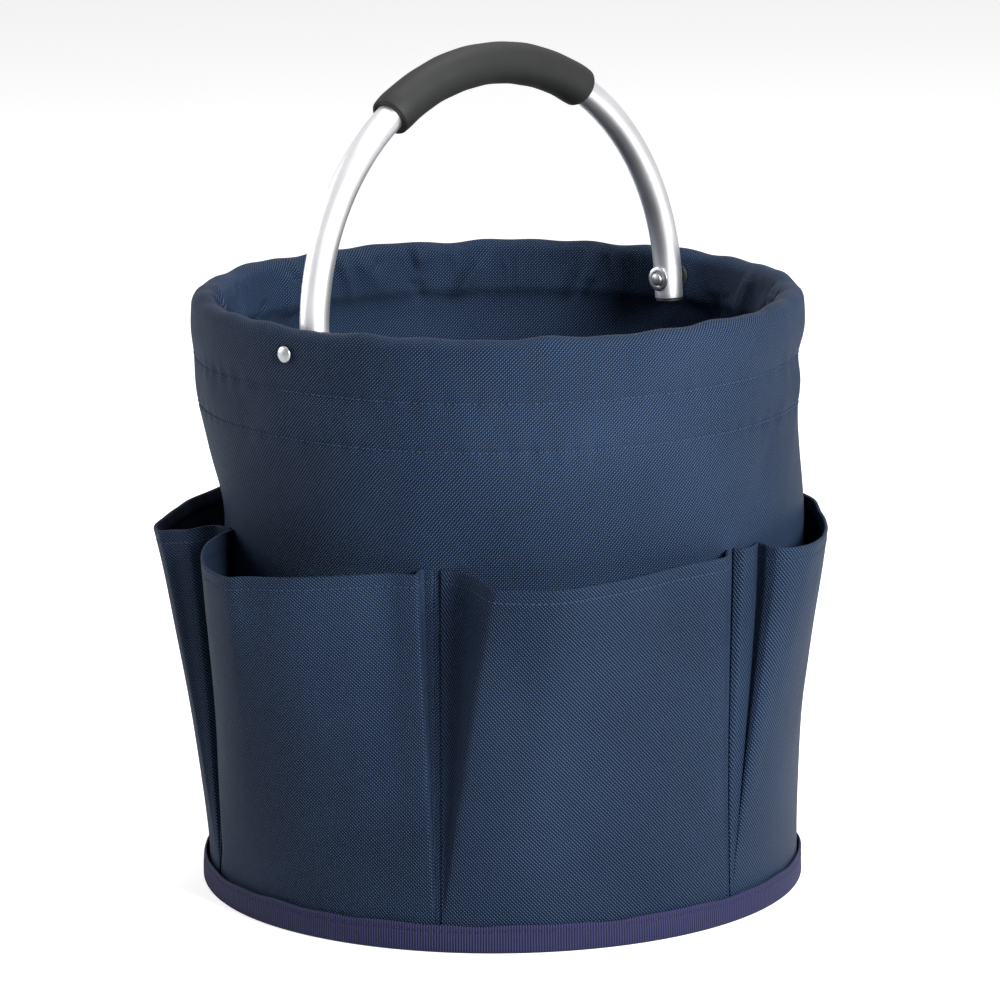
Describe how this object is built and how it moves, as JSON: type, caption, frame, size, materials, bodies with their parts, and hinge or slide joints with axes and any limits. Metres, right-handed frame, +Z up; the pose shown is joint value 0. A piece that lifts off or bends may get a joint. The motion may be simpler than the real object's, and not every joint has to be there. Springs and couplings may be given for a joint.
{
  "type": "cleaning caddy",
  "caption": "Round navy cloth cleaning caddy with a stiff rim, pleated outside pockets and an arched aluminium tube handle with a foam grip.",
  "frame": {"origin": "middle of the underside, on the floor", "axes": "+Z up; the two rivets lie on the X direction; -Y is the front"},
  "size_m": [0.38, 0.3568, 0.4436],
  "materials": {
    "navy_twill": "navy coated polyester, coarse twill weave",
    "binding_tape": "violet navy woven polyester tape, ribbed",
    "foam_sheet": "white closed-cell sheet",
    "base_board": "grey plastic board",
    "satin_aluminium": "satin anodised",
    "grip_foam": "black closed-cell foam, fine matt skin",
    "rivet_metal": "zinc plated, bright",
    "black_plastic": "black moulded plastic"
  },
  "bodies": {
    "bucket": {"outer_wall": "navy_twill", "wall_stiffener": "foam_sheet", "inner_lining": "navy_twill", "base_panel_outer": "navy_twill", "base_board": "base_board", "base_panel_inner": "navy_twill", "base_binding": "binding_tape", "pocket_right_end": "navy_twill", "pocket_back_right": "navy_twill", "pocket_back_left": "navy_twill", "pocket_left_end": "navy_twill", "pocket_front_left": "navy_twill", "pocket_front_right": "navy_twill", "rim_hoop": "black_plastic", "hoop_joiner": "black_plastic", "rivet_left": "rivet_metal", "rivet_right": "rivet_metal", "spacer_washer_left": "black_plastic", "spacer_washer_right": "black_plastic", "tail_washer_left": "rivet_metal", "tail_washer_right": "rivet_metal"},
    "handle": {"handle_tube": "satin_aluminium", "handle_grip": "grip_foam", "tube_plug_left": "black_plastic", "tube_plug_right": "black_plastic"}
  },
  "joints": [
    {"name": "handle_swing", "type": "hinge", "parent": "bucket", "child": "handle", "pos_m": [0, 0, 0.303], "axis": [1, 0, 0], "range_deg": [-86.5, 93.5]}
  ]
}
